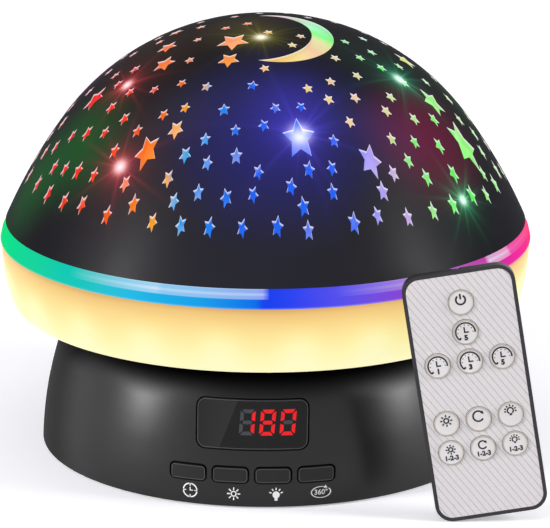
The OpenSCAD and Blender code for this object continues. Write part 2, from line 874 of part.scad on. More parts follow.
star_dome();
inner_dome();
rgb_light_ring();
warm_diffuser();
head_tray();
ring_gear();
head_screws();
base_shell();
base_plate();
anti_slip_ring();
base_screws();
display_window();
display_module();
ir_receiver();
control_board();
tact_switches();
push_button(0);  // timer_button
push_button(1);  // warm_light_button
push_button(2);  // star_light_button
push_button(3);  // rotation_button
power_board();
usb_inlet();
drive_motor();
motor_screws();
motor_shaft();
drive_pinion();
slide_washer();
hub_retainer();
retainer_screws();
led_column();
led_carrier();
star_led_board();
rgb_led_strip();
warm_led_ring();
remote_front_case();
remote_back_case();
remote_overlay();
remote_board();
key_sheet();
remote_ir_led();
remote_key(0);  // key_power
remote_key(1);  // key_timer_short
remote_key(2);  // key_timer_1
remote_key(3);  // key_timer_2
remote_key(4);  // key_timer_3
remote_key(5);  // key_warm
remote_key(6);  // key_rotate
remote_key(7);  // key_colour
remote_key(8);  // key_warm_level
remote_key(9);  // key_speed
remote_key(10);  // key_colour_level
battery_cover();
coin_cell();
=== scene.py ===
"""Looks of the star night light projector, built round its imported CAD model.

Everything is in metres in the CAD frame: the origin is the centre of the ring
foot on the table, +Z is up and -Y is the side with the display. An angle round
the lamp, called a turn, is 0 at the front and grows towards +X.
"""
import json
import math

import bmesh
import bpy
from mathutils import Matrix, Vector

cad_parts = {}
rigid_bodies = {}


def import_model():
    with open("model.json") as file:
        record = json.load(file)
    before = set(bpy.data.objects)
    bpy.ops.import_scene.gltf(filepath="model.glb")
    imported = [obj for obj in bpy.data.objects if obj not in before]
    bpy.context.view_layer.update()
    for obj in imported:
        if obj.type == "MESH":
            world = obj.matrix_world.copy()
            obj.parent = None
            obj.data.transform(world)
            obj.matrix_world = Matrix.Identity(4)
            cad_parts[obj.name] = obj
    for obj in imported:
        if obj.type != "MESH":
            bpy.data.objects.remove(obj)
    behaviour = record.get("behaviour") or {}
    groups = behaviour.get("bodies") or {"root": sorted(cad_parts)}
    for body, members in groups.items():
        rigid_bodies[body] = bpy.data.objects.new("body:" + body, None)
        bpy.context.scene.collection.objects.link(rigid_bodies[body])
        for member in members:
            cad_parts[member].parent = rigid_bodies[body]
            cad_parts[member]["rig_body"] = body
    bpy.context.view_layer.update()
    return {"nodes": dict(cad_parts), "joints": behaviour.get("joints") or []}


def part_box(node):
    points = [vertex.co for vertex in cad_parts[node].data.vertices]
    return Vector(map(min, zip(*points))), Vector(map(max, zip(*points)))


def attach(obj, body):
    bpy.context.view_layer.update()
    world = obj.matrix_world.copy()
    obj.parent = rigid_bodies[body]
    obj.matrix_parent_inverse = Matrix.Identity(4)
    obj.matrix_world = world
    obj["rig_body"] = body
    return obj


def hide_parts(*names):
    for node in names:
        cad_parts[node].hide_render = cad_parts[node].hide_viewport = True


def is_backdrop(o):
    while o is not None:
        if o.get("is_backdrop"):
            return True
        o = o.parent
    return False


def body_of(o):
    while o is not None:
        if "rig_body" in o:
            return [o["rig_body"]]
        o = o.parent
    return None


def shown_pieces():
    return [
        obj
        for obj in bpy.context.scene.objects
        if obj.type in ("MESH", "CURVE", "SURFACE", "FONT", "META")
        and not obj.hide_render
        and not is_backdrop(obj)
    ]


MM = 0.001

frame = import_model()
nodes = frame["nodes"]

# ---------- sizes of the lamp ----------

RING_LOW, RING_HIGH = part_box("rgb_light_ring")
BOWL_LOW, BOWL_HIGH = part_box("warm_diffuser")
DOME_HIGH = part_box("star_dome")[1]
SHELL_LOW, SHELL_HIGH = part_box("base_shell")

# The dome is a round cap that runs into a flatter side arc at the bend
CAP_R = 90.6 * MM
CAP_ANGLE = math.radians(53.6)
SIDE_R = 198 * MM
CAP_Z = DOME_HIGH.z - CAP_R
BEND_Z = CAP_Z + CAP_R * math.cos(CAP_ANGLE)
SIDE_X = (CAP_R - SIDE_R) * math.sin(CAP_ANGLE)
SIDE_Z = CAP_Z + (CAP_R - SIDE_R) * math.cos(CAP_ANGLE)

# The base's side is an arc whose centre lies across the axis
BASE_ARC_R = 135 * MM
BASE_ARC_Z = -4.7 * MM
BASE_ARC_X = SHELL_HIGH.x - math.sqrt(BASE_ARC_R**2 - (SHELL_LOW.z - BASE_ARC_Z) ** 2)

# Warm lamps round the bowl
WARM_LEDS = 22


def base_radius(z):
    """The radius of the base's side at a height."""
    return BASE_ARC_X + math.sqrt(BASE_ARC_R**2 - (z - BASE_ARC_Z) ** 2)


def on_dome(turn, radius):
    """The place on the dome at a turn in degrees and a plan radius in millimetres."""
    r = radius * MM
    if r < CAP_R * math.sin(CAP_ANGLE):
        z = CAP_Z + math.sqrt(CAP_R**2 - r * r)
    else:
        z = SIDE_Z + math.sqrt(SIDE_R**2 - (r - SIDE_X) ** 2)
    a = math.radians(turn)
    return Vector((r * math.sin(a), -r * math.cos(a), z))


def colour(code):
    """A linear colour from its #rrggbb code."""
    levels = [int(code[i : i + 2], 16) / 255 for i in (1, 3, 5)]
    return (*[v / 12.92 if v <= 0.04045 else ((v + 0.055) / 1.055) ** 2.4 for v in levels], 1.0)


BLACK = colour("#000000")


# ---------- camera and lamps ----------

CAMERA_TURN = math.radians(3.4)
CAMERA_DISTANCE = 1.152
CAMERA_HEIGHT = 0.4005
CAMERA_PITCH = 0.284
SENSOR = 36.0

# The frame's width, the focal length and the column of the lamp's axis, in pixels
FRAME_WIDTH = 550
FOCAL_PIXELS = 3292.7
AXIS_PIXEL = 265.5

# The soft lamps point here
LAMP_AIM = Vector((0, 0, 80 * MM))


def link(obj):
    bpy.context.scene.collection.objects.link(obj)
    return obj


def make_camera():
    data = bpy.data.cameras.new("camera")
    data.sensor_width = SENSOR
    data.lens = FOCAL_PIXELS / FRAME_WIDTH * SENSOR
    data.shift_x = 0.5 - AXIS_PIXEL / FRAME_WIDTH
    data.clip_start, data.clip_end = 0.05, 50
    camera = link(bpy.data.objects.new("camera", data))
    camera.location = (
        CAMERA_DISTANCE * math.sin(CAMERA_TURN),
        -CAMERA_DISTANCE * math.cos(CAMERA_TURN),
        CAMERA_HEIGHT,
    )
    camera.rotation_euler = (math.pi / 2 - CAMERA_PITCH, 0, CAMERA_TURN)
    bpy.context.scene.camera = camera


def soft_lamp(name, turn, rise, distance, width, height, power):
    """A rectangular soft lamp at a turn and a rise in degrees, aimed at LAMP_AIM."""
    data = bpy.data.lights.new(name, "AREA")
    data.shape = "RECTANGLE"
    data.size, data.size_y, data.energy = width, height, power
    lamp = link(bpy.data.objects.new(name, data))
    a, e = math.radians(turn), math.radians(rise)
    away = Vector((math.sin(a) * math.cos(e), -math.cos(a) * math.cos(e), math.sin(e)))
    lamp.location = away * distance + LAMP_AIM
    lamp.rotation_mode = "QUATERNION"
    lamp.rotation_quaternion = away.to_track_quat("Z", "Y")


# ---------- node building ----------


class Shade:
    """A node tree being built: each call adds a node and gives back its output."""

    def __init__(self, tree):
        self.tree = tree

    def add(self, kind, sockets=None, output=0, **settings):
        node = self.tree.nodes.new("ShaderNode" + kind)
        for name, value in settings.items():
            setattr(node, name, value)
        for name, value in (sockets or {}).items():
            self.put(node, name, value)
        return node.outputs[output]

    def put(self, node, name, value):
        if isinstance(value, bpy.types.NodeSocket):
            self.tree.links.new(value, node.inputs[name])
        else:
            node.inputs[name].default_value = value

    def math(self, operation, a, b=0.0, clamp=False):
        return self.add("Math", {0: a, 1: b}, operation=operation, use_clamp=clamp)

    def vector(self, operation, a, b=(0, 0, 0)):
        return self.add("VectorMath", {0: a, 1: b}, operation=operation)

    def scaled(self, vector, share):
        out = self.vector("SCALE", vector)
        self.put(out.node, "Scale", share)
        return out

    def dot(self, a, b):
        return self.add("VectorMath", {0: a, 1: b}, "Value", operation="DOT_PRODUCT")

    def distance(self, a, b):
        return self.add("VectorMath", {0: a, 1: b}, "Value", operation="DISTANCE")

    def parts(self, vector):
        split = self.add("SeparateXYZ", {0: vector}).node
        return split.outputs[0], split.outputs[1], split.outputs[2]

    def rise(self, value, low, high):
        """0 below low, 1 above high, smooth between; low may be the greater."""
        return self.add(
            "MapRange",
            {"Value": value, "From Min": low, "From Max": high},
            interpolation_type="SMOOTHSTEP",
        )

    def mix(self, share, a, b):
        return self.add("Mix", {0: share, 6: a, 7: b}, 2, data_type="RGBA", blend_type="MIX")

    def ramp(self, value, stops):
        """A colour ramp whose stops are (place, #rrggbb)."""
        out = self.add("ValToRGB", {0: value})
        ramp = out.node.color_ramp
        while len(ramp.elements) < len(stops):
            ramp.elements.new(0.5)
        for element, (place, code) in zip(ramp.elements, stops):
            element.position = place
            element.color = colour(code)
        return out

    def noise(self, place, scale, detail=2.0):
        return self.add("TexNoise", {"Vector": place, "Scale": scale, "Detail": detail}, "Fac")

    def turn_share(self, x, y):
        """The turn round the lamp as a share: 0.5 at the front, 0.75 at +X."""
        angle = self.math("ARCTAN2", x, self.math("MULTIPLY", y, -1.0))
        return self.math("ADD", self.math("DIVIDE", angle, 2 * math.pi), 0.5)

    def length(self, a, b):
        """The length of two parts at right angles, such as the plan radius of x and y."""
        squares = self.math("ADD", self.math("MULTIPLY", a, a), self.math("MULTIPLY", b, b))
        return self.math("POWER", squares, 0.5)


class Group(Shade):
    """A shader node group; inputs and outputs are (name, kind, default)."""

    def __init__(self, name, inputs, outputs):
        super().__init__(bpy.data.node_groups.new(name, "ShaderNodeTree"))
        for title, kind, default in inputs:
            socket = self.tree.interface.new_socket(title, in_out="INPUT", socket_type="NodeSocket" + kind)
            if default is not None:
                socket.default_value = default
        for title, kind in outputs:
            self.tree.interface.new_socket(title, in_out="OUTPUT", socket_type="NodeSocket" + kind)
        self.inside = self.tree.nodes.new("NodeGroupInput").outputs
        self.outside = self.tree.nodes.new("NodeGroupOutput").inputs

    def give(self, title, socket):
        self.tree.links.new(socket, self.outside[title])


class Finish(Shade):
    """A material with one Principled shader that reads Object coordinates."""

    def __init__(self, name, **values):
        self.material = bpy.data.materials.new(name)
        self.material.use_nodes = True
        super().__init__(self.material.node_tree)
        self.shader = self.tree.nodes["Principled BSDF"]
        self.place = self.add("TexCoord", output="Object")
        for title, value in values.items():
            self.set(title.replace("_", " ").title(), value)

    def set(self, title, value):
        self.put(self.shader, title, value)

    def take(self, out):
        """Takes colour, roughness and normal from a shared effect."""
        self.set("Base Color", out["Colour"])
        self.set("Roughness", out["Roughness"])
        self.set("Normal", out["Normal"])

    def glow(self, light):
        self.set("Emission Color", light)
        self.set("Emission Strength", 1.0)

    def dull_edges(self, roughness, amount, start, end):
        """Sets a roughness that grows where the surface is seen nearly edge on."""
        facing = self.add("LayerWeight", {"Blend": 0.5}, "Facing")
        added = self.math("MULTIPLY", self.rise(facing, start, end), amount)
        self.set("Roughness", self.math("ADD", roughness, added, clamp=True))


def use(shade, group, sockets):
    """Places a node group in a tree and gives back its outputs by name."""
    node = shade.tree.nodes.new("ShaderNodeGroup")
    node.node_tree = group.tree
    for title, value in sockets.items():
        shade.put(node, title, value)
    return node.outputs


# ---------- shared effects ----------


def make_grain():
    """Moulded plastic: a faint mottle in colour and gloss, and a fine pebble."""
    g = Group(
        "moulded_grain",
        [("Place", "Vector", None), ("Colour", "Color", None), ("Roughness", "Float", 0.4),
         ("Scale", "Float", 1500.0), ("Depth", "Float", 0.1)],
        [("Colour", "Color"), ("Roughness", "Float"), ("Normal", "Vector")],
    )
    place = g.inside["Place"]
    cloud = g.noise(place, 45.0, 3.0)
    fine = g.noise(place, g.inside["Scale"], 2.0)
    shade = g.math("ADD", 0.86, g.math("MULTIPLY", cloud, 0.28))
    g.give("Colour", g.scaled(g.inside["Colour"], shade))
    spread = g.math("MULTIPLY", g.math("SUBTRACT", cloud, 0.5), 0.12)
    g.give("Roughness", g.math("ADD", g.inside["Roughness"], spread, clamp=True))
    bump = g.add("Bump", {"Strength": g.inside["Depth"], "Distance": 0.00005, "Height": fine}, "Normal")
    g.give("Normal", bump)
    return g


def make_wear():
    """Bare metal: fine scratches round the lamp's axis and dull patches."""
    g = Group(
        "metal_wear",
        [("Place", "Vector", None), ("Colour", "Color", None), ("Roughness", "Float", 0.3)],
        [("Colour", "Color"), ("Roughness", "Float"), ("Normal", "Vector")],
    )
    stretched = g.vector("MULTIPLY", g.inside["Place"], (1.0, 1.0, 14.0))
    scratches = g.noise(stretched, 420.0, 4.0)
    patches = g.noise(g.inside["Place"], 130.0, 3.0)
    shade = g.math("ADD", 0.78, g.math("MULTIPLY", patches, 0.4))
    g.give("Colour", g.scaled(g.inside["Colour"], shade))
    spread = g.math("MULTIPLY", scratches, 0.18)
    g.give("Roughness", g.math("ADD", g.inside["Roughness"], spread, clamp=True))
    g.give("Normal", g.add("Bump", {"Strength": 0.25, "Distance": 0.00003, "Height": scratches}, "Normal"))
    return g


def make_flare():
    """A painted burst of light round a lamp point, drawn on the dome in its tangent plane."""
    g = Group(
        "flare",
        [("Place", "Vector", None), ("Centre", "Vector", None), ("Reach", "Float", 0.01)],
        [("Light", "Float"), ("Core", "Float")],
    )
    outward = g.vector("NORMALIZE", g.vector("SUBTRACT", g.inside["Centre"], (0, 0, CAP_Z)))
    across = g.vector("NORMALIZE", g.vector("CROSS_PRODUCT", (0.0, 0.0, 1.0), outward))
    upward = g.vector("CROSS_PRODUCT", outward, across)
    away = g.vector("SUBTRACT", g.inside["Place"], g.inside["Centre"])
    radius = g.math("DIVIDE", g.distance(g.inside["Place"], g.inside["Centre"]), g.inside["Reach"])
    angle = g.math("ARCTAN2", g.dot(away, upward), g.dot(away, across))

    def spokes(count, start, sharp):
        wave = g.math("COSINE", g.math("ADD", g.math("MULTIPLY", angle, count / 2), start))
        return g.math("POWER", g.math("ABSOLUTE", wave), sharp)

    def fading(rate):
        return g.math("EXPONENT", g.math("MULTIPLY", radius, -rate))

    circle = g.add("CombineXYZ", {"X": g.math("COSINE", angle), "Y": g.math("SINE", angle)})
    uneven = g.noise(g.vector("ADD", circle, g.scaled(g.inside["Centre"], 90.0)), 3.4, 3.0)
    rays = g.math("MULTIPLY", g.math("MULTIPLY", g.rise(uneven, 0.5, 0.72), fading(4.4)), 0.75)
    long_rays = g.math("MULTIPLY", g.math("MULTIPLY", spokes(6, 0.9, 60.0), fading(2.6)), 0.3)
    glow = g.math("ADD", g.math("MULTIPLY", fading(8.0), 1.1), g.math("MULTIPLY", fading(3.0), 0.16))
    g.give("Light", g.math("ADD", g.math("ADD", rays, long_rays), glow))
    near = g.math("MULTIPLY", radius, 8.0)
    g.give("Core", g.math("EXPONENT", g.math("MULTIPLY", g.math("MULTIPLY", near, near), -1.0)))
    return g


# Painted flares round bright lamp points behind the dome: turn, plan radius in mm, reach in mm, colour
FLARES = [
    (13.9, 64.4, 25, "#5648e8"),
    (-58.6, 55.0, 15, "#ff4a52"),
    (-38.1, 75.4, 18, "#ff4858"),
    (-0.9, 21.1, 17, "#9a9420"),
    (66.3, 52.7, 17, "#20c890"),
    (57.8, 84.3, 14, "#2fd890"),
    (152.0, 66.0, 18, "#ff9a30"),
    (-140.0, 70.0, 20, "#4a8cff"),
    (-105.0, 60.0, 15, "#e040c0"),
    (110.0, 76.0, 15, "#58e080"),
]
FLARE_CORE = (0.9, 0.85, 0.86)


def make_flares(flare):
    g = Group("flares", [("Place", "Vector", None)], [("Light", "Color")])
    total = None
    for turn, radius, reach, code in FLARES:
        centre = on_dome(turn, radius)
        light = use(g, flare, {"Place": g.inside["Place"], "Centre": centre, "Reach": reach * MM})
        burst = g.scaled(colour(code)[:3], light["Light"])
        lit = g.vector("ADD", burst, g.scaled(FLARE_CORE, light["Core"]))
        total = lit if total is None else g.vector("ADD", total, lit)
    g.give("Light", total)
    return g


def as_share(turn):
    """A turn in degrees as the share that Shade.turn_share gives."""
    return turn / 360 + 0.5


def round_ramp(shade, share, stops):
    """A ramp round the lamp; its stops are (turn in degrees, #rrggbb), from -180 up."""
    return shade.ramp(share, [(as_share(turn), code) for turn, code in stops])


# The upper colours reach out to this plan radius, and by the drop further on the right
BORDER = 45 * MM
BORDER_DROP = 23 * MM


def make_star_light():
    """The colour that shines through the stars: it changes round the dome and upwards."""
    g = Group("star_light", [("Place", "Vector", None)], [("Colour", "Color")])
    x, y, _ = g.parts(g.inside["Place"])
    share = g.turn_share(x, y)
    radius = g.length(x, y)
    wander = g.math("MULTIPLY", g.math("SUBTRACT", g.noise(g.inside["Place"], 60.0, 1.0), 0.5), 0.016)
    share = g.math("ADD", share, wander)
    low = round_ramp(g, share, [
        (-180, "#e040c8"), (-150, "#8a50f0"), (-125, "#3a70f5"), (-105, "#ff8a60"), (-84, "#f0502c"),
        (-68, "#f01c34"), (-56, "#f0361c"), (-40, "#f04a1a"), (-32, "#f2701e"), (-23.5, "#f0a42c"),
        (-20.5, "#2ea4e4"), (-12, "#2484ec"), (-2, "#1e62ea"), (22, "#2462ee"), (27, "#5a7af4"),
        (33, "#a89cf0"), (40.5, "#c0a0da"), (42.5, "#9ae48c"), (62, "#62ee58"), (84, "#b0ee96"),
        (104, "#ffd060"), (130, "#ff8428"), (158, "#ff3048"),
    ])
    high = round_ramp(g, share, [
        (-180, "#f090a4"), (-110, "#f29470"), (-64, "#ee7c48"), (-28, "#f88034"), (-6, "#f0a850"),
        (10, "#f0c468"), (26, "#ecd494"), (38, "#e8c09c"), (52, "#d8dc9c"), (62, "#7cee80"),
        (90, "#a8f0c4"), (130, "#e8b0bc"),
    ])
    drop_start = g.rise(share, as_share(6), as_share(34))
    drop_end = g.rise(share, as_share(66), as_share(56))
    drop = g.math("MULTIPLY", drop_start, drop_end)
    border = g.math("ADD", BORDER, g.math("MULTIPLY", drop, BORDER_DROP))
    mixed = g.mix(g.rise(g.math("SUBTRACT", radius, border), 1.5 * MM, -1.5 * MM), low, high)
    pale = g.rise(g.noise(g.inside["Place"], 90.0, 0.0), 0.5, 0.74)
    g.give("Colour", g.mix(g.math("MULTIPLY", pale, 0.16), mixed, colour("#fff2e0")))
    return g


GRAIN = make_grain()
WEAR = make_wear()
FLARE_LIGHT = make_flares(make_flare())
STAR_LIGHT = make_star_light()


# ---------- finishes ----------


def moulded(name, code, roughness, scale=1500.0, depth=0.1, specular=0.4):
    """Plain moulded plastic or rubber with its grain."""
    f = Finish(name)
    out = use(f, GRAIN, {
        "Place": f.place, "Colour": colour(code), "Roughness": roughness, "Scale": scale, "Depth": depth,
    })
    f.take(out)
    f.set("Specular IOR Level", specular)
    return f


def housing_with_painted_shadow():
    """The base's black plastic with a painted shadow: black, metallic and duller where it runs up under the
    bowl.
    """
    f = moulded("black_housing", "#0d0d0e", 0.33, 1400.0, 0.10, 0.36)
    grained = f.shader.inputs["Base Color"].links[0].from_socket
    gloss = f.shader.inputs["Roughness"].links[0].from_socket
    _, _, z = f.parts(f.place)
    # Painted shadow under the bowl: black colour and full metal there, so it shows no colour and no
    # reflection
    under = f.rise(z, 34 * MM, 47 * MM)
    f.set("Base Color", f.mix(under, grained, BLACK))
    f.set("Metallic", under)
    f.dull_edges(f.math("ADD", gloss, f.math("MULTIPLY", under, 0.5), clamp=True), 0.65, 0.36, 0.72)
    return f


def bare_metal(name, code, roughness):
    f = Finish(name, metallic=1.0)
    out = use(f, WEAR, {"Place": f.place, "Colour": colour(code), "Roughness": roughness})
    f.take(out)
    return f


def circuit_board():
    """Green board with tracks under the mask and bright pads."""
    f = Finish("circuit_board", roughness=0.35)
    tracks = f.add("TexBrick", {
        "Vector": f.place, "Scale": 220.0, "Color1": colour("#1c6b3c"), "Color2": colour("#185c34"),
        "Mortar": colour("#2f8a52"), "Mortar Size": 0.03,
    })
    pads = f.rise(f.add("TexVoronoi", {"Vector": f.place, "Scale": 260.0}, "Distance"), 0.16, 0.12)
    f.set("Base Color", f.mix(pads, tracks, colour("#c9ccc6")))
    f.set("Metallic", f.math("MULTIPLY", pads, 0.9))
    return f


def led_board():
    """White board whose lamps stand proud; faint tracks run round it."""
    f = Finish("led_board", roughness=0.45)
    x, y, _ = f.parts(f.place)
    tracks = f.math("SINE", f.math("MULTIPLY", f.length(x, y), 4200.0))
    f.set("Base Color", f.mix(f.rise(tracks, 0.9, 1.0), colour("#f0efe8"), colour("#cfcabb")))
    return f


def warm_glow():
    """The lit bowl: pale low down, tan under the colour ring, brighter by each lamp."""
    f = Finish("warm_glow", roughness=0.38)
    x, y, z = f.parts(f.place)
    share = f.turn_share(x, y)
    height = f.math("DIVIDE", f.math("SUBTRACT", z, BOWL_LOW.z), BOWL_HIGH.z - BOWL_LOW.z)
    peak = 0.506 + 0.5 / WARM_LEDS  # the share round the lamp at which one lamp is brightest
    turned = f.math("SUBTRACT", share, peak)
    wave = f.math("COSINE", f.math("MULTIPLY", turned, 2 * math.pi * WARM_LEDS))
    lobe = f.math("POWER", f.math("ADD", f.math("MULTIPLY", wave, 0.5), 0.5), 1.5)
    low_lobe = f.math("MULTIPLY", lobe, f.rise(height, 0.85, 0.4))
    lifted = f.math("SUBTRACT", height, f.math("MULTIPLY", low_lobe, 0.24))
    drift = f.math("MULTIPLY", f.math("SUBTRACT", f.noise(f.place, 22.0, 2.0), 0.5), 0.14)
    glow = f.ramp(f.math("ADD", lifted, drift, clamp=True), [
        (0.0, "#fffbc8"), (0.28, "#fff7b6"), (0.55, "#ffeaa0"), (0.78, "#fad88b"), (0.93, "#f0c67c"),
        (1.0, "#dfb06c"),
    ])
    f.set("Base Color", f.mix(0.95, glow, BLACK))
    f.glow(f.mix(0.05, glow, BLACK))
    f.set("Specular IOR Level", 0.1)
    return f


def rainbow_ring():
    """The light guide: colours run round it, and its leaning upper band carries painted highlights in
    places.
    """
    f = Finish("rainbow_ring")
    x, y, z = f.parts(f.place)
    share = f.turn_share(x, y)
    hue = round_ramp(f, share, [
        (-180, "#ff5a10"), (-150, "#ffc010"), (-120, "#9cf020"), (-90, "#10e060"), (-72, "#05e08a"),
        (-52, "#02d09e"), (-36, "#04c4c2"), (-24, "#18b8e6"), (-10, "#18a0ea"), (1.5, "#0c6eea"),
        (3, "#1440f0"), (9, "#2c44f2"), (20, "#5a50ec"), (32, "#8a48d8"), (44, "#a62cc4"), (57, "#c010a0"),
        (70, "#f028a0"), (90, "#ff3a78"), (135, "#ff4a30"), (180, "#ff5a10"),
    ])
    # Painted highlights on the upper band: pale streaks and patches with sharp ends round the ring
    highlight_streaks = f.ramp(share, [
        (0.0, "#808080"), (0.08, "#303030"), (0.2, "#909090"), (0.26, "#000000"), (0.385, "#000000"),
        (0.4491, "#e8e8e8"), (0.4492, "#c4c4c4"), (0.508, "#c4c4c4"), (0.5081, "#000000"),
        (0.55, "#101010"), (0.6, "#a0a0a0"), (0.64, "#606060"), (0.6636, "#404040"),
        (0.6637, "#d8d8d8"), (0.69, "#c0c0c0"), (0.6901, "#606060"), (0.8, "#000000"),
        (0.86, "#b0b0b0"), (0.8601, "#404040"), (1.0, "#808080"),
    ])
    bend = (RING_LOW.z + RING_HIGH.z) / 2
    # The upper band takes the painted highlights, with two brighter painted lines: one along the band and
    # one at its top rim
    upper = f.rise(z, bend - 0.1 * MM, bend + 0.2 * MM)
    line = f.rise(f.math("ABSOLUTE", f.math("SUBTRACT", z, bend + 1.5 * MM)), 0.6 * MM, 0.2 * MM)
    rim = f.rise(z, RING_HIGH.z - 0.6 * MM, RING_HIGH.z - 0.2 * MM)
    lines = f.math("MULTIPLY", f.math("MAXIMUM", line, rim), 0.34)
    pale = f.math("MULTIPLY", upper, f.math("ADD", 0.62, lines))
    lit = f.mix(f.math("MULTIPLY", pale, highlight_streaks), hue, colour("#e8f4ff"))
    foot = f.rise(z, RING_LOW.z + 0.8 * MM, RING_LOW.z)
    lit = f.mix(f.math("MULTIPLY", foot, 0.22), lit, colour("#d8e8ff"))
    f.set("Base Color", f.mix(0.97, lit, BLACK))
    f.glow(f.mix(0.04, lit, BLACK))
    f.set("Specular IOR Level", 0.03)
    f.dull_edges(0.35, 0.6, 0.3, 0.75)
    return f


# Painted glow that tints the dome's skin: turn, plan radius, reach in mm, colour
PAINTED_TINTS = [
    (-58, 74, 32, "#004a12"),
    (-72, 86, 28, "#004410"),
    (-30, 62, 26, "#141014"),
    (6, 64, 48, "#0e0e68"),
    (13, 56, 22, "#161062"),
    (57, 71, 34, "#5c002c"),
    (42, 66, 22, "#240430"),
    (60, 38, 24, "#0c1410"),
    (-66, 40, 34, "#201404"),
    (-30, 14, 22, "#30280e"),
    (0, 92, 60, "#14141e"),
    (150, 64, 34, "#4a2004"),
    (-140, 68, 36, "#082a66"),
    (-105, 62, 26, "#400c3c"),
    (105, 70, 28, "#103c10"),
]


def dome_depth(f):
    """How deep a place lies under the dome's outer surface."""
    x, y, z = f.parts(f.place)
    cap = f.math("SUBTRACT", CAP_R, f.distance(f.place, (0, 0, CAP_Z)))
    out = f.math("SUBTRACT", f.length(x, y), SIDE_X)
    up = f.math("SUBTRACT", z, SIDE_Z)
    side = f.math("SUBTRACT", SIDE_R, f.length(out, up))
    over = f.math("GREATER_THAN", z, BEND_Z)
    under = f.math("SUBTRACT", 1.0, over)
    return f.math("ADD", f.math("MULTIPLY", over, cap), f.math("MULTIPLY", under, side))


def star_dome_black():
    """Charcoal skin with painted glow, tints and flares, standing for the light behind it; the walls of the
    star holes glow with painted light.
    """
    f = Finish("star_dome_black")
    out = use(f, GRAIN, {
        "Place": f.place, "Colour": colour("#100f14"), "Roughness": 0.42, "Scale": 1300.0, "Depth": 0.12,
    })
    _, _, rise = f.parts(f.add("NewGeometry", output="True Normal"))
    wall = f.math("LESS_THAN", f.math("ABSOLUTE", rise), 0.2)
    # Painted glow on the skin round each listed place
    painted_tint = None
    for turn, radius, reach, code in PAINTED_TINTS:
        near = f.rise(f.distance(f.place, on_dome(turn, radius)), reach * MM, 0.0)
        lit = f.scaled(colour(code)[:3], near)
        painted_tint = lit if painted_tint is None else f.vector("ADD", painted_tint, lit)
    # Painted flares on the skin, added to the painted tints
    flare = use(f, FLARE_LIGHT, {"Place": f.place})["Light"]
    skin = f.vector("ADD", painted_tint, flare)
    # Painted light on the hole walls: they glow with the star colour, with a pale painted highlight near
    # the outer surface
    edge = f.rise(dome_depth(f), 0.5 * MM, 0.2 * MM)
    star = use(f, STAR_LIGHT, {"Place": f.place})["Colour"]
    painted_wall_light = f.mix(f.math("MULTIPLY", edge, 0.6), star, colour("#f6f4ff"))
    f.set("Base Color", f.mix(f.math("MULTIPLY", wall, 0.9), out["Colour"], BLACK))
    f.dull_edges(out["Roughness"], 0.58, 0.14, 0.5)
    f.set("Normal", out["Normal"])
    f.glow(f.mix(wall, skin, f.vector("ADD", painted_wall_light, flare)))
    f.set("Specular IOR Level", 0.12)
    return f


def colour_dome():
    """The lit inner dome that shows through the stars, with the painted flares on it as well."""
    f = Finish("colour_dome", roughness=0.5)
    star = use(f, STAR_LIGHT, {"Place": f.place})["Colour"]
    flare = use(f, FLARE_LIGHT, {"Place": f.place})["Light"]
    f.set("Base Color", f.mix(0.9, star, BLACK))
    f.glow(f.vector("ADD", star, flare))
    f.set("Specular IOR Level", 0.1)
    return f


def smoked_window():
    """Glossy smoked window with a painted reflection: a paler slanted band on its left."""
    f = Finish("smoked_window", roughness=0.09)
    x, _, z = f.parts(f.place)
    low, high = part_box("display_window")
    share = f.math("DIVIDE", f.math("SUBTRACT", z, low.z), high.z - low.z)
    # Painted reflection: left of a slanted border the window turns paler, less so towards its left end
    border = f.math("ADD", -11.6 * MM, f.math("MULTIPLY", share, 6.8 * MM))
    left = f.rise(f.math("SUBTRACT", x, border), 0.12 * MM, -0.12 * MM)
    fade = f.rise(x, low.x - 12 * MM, -5 * MM)
    band = f.mix(fade, colour("#121213"), colour("#2b2b2c"))
    haze = f.mix(f.noise(f.place, 60.0, 2.0), colour("#121214"), colour("#181719"))
    f.set("Base Color", f.mix(left, haze, band))
    f.set("Specular IOR Level", 0.2)
    return f


def overlay_face():
    """Pale key overlay with fine slanted lines and a little sparkle."""
    f = Finish("remote_face", roughness=0.38)
    across, _, up = remote_axes()
    slant = math.radians(59)
    line_normal = across * math.sin(slant) + up * math.cos(slant)
    steps = f.math("FRACT", f.math("DIVIDE", f.dot(f.place, line_normal), 1.93 * MM))
    line = f.rise(f.math("ABSOLUTE", f.math("SUBTRACT", steps, 0.5)), 0.11, 0.04)
    sparkle = f.noise(f.place, 3400.0, 1.0)
    ground = f.mix(f.rise(sparkle, 0.3, 0.7), colour("#d9d3d5"), colour("#e4dfe1"))
    f.set("Base Color", f.mix(f.math("MULTIPLY", line, 0.55), ground, colour("#9c9690")))
    f.set("Specular IOR Level", 0.25)
    return f


def lit_bar():
    """A lit display bar: red, a little darker in places."""
    f = Finish("lit_bar", roughness=0.4)
    soft = f.noise(f.place, 700.0, 1.0)
    red = f.mix(soft, colour("#d4141a"), colour("#e42026"))
    f.set("Base Color", f.mix(0.8, red, BLACK))
    f.glow(red)
    f.set("Specular IOR Level", 0.2)
    return f


def remote_axes():
    """The remote's own directions: to its right, into its face, and up its length."""
    inward = next(Vector(j["axis"]) for j in frame["joints"] if j["child"] == "key_power").normalized()
    up = (middle("key_power") - middle("key_speed")).normalized()
    return up.cross(inward) * -1, inward, up


def middle(node):
    low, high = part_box(node)
    return (low + high) / 2


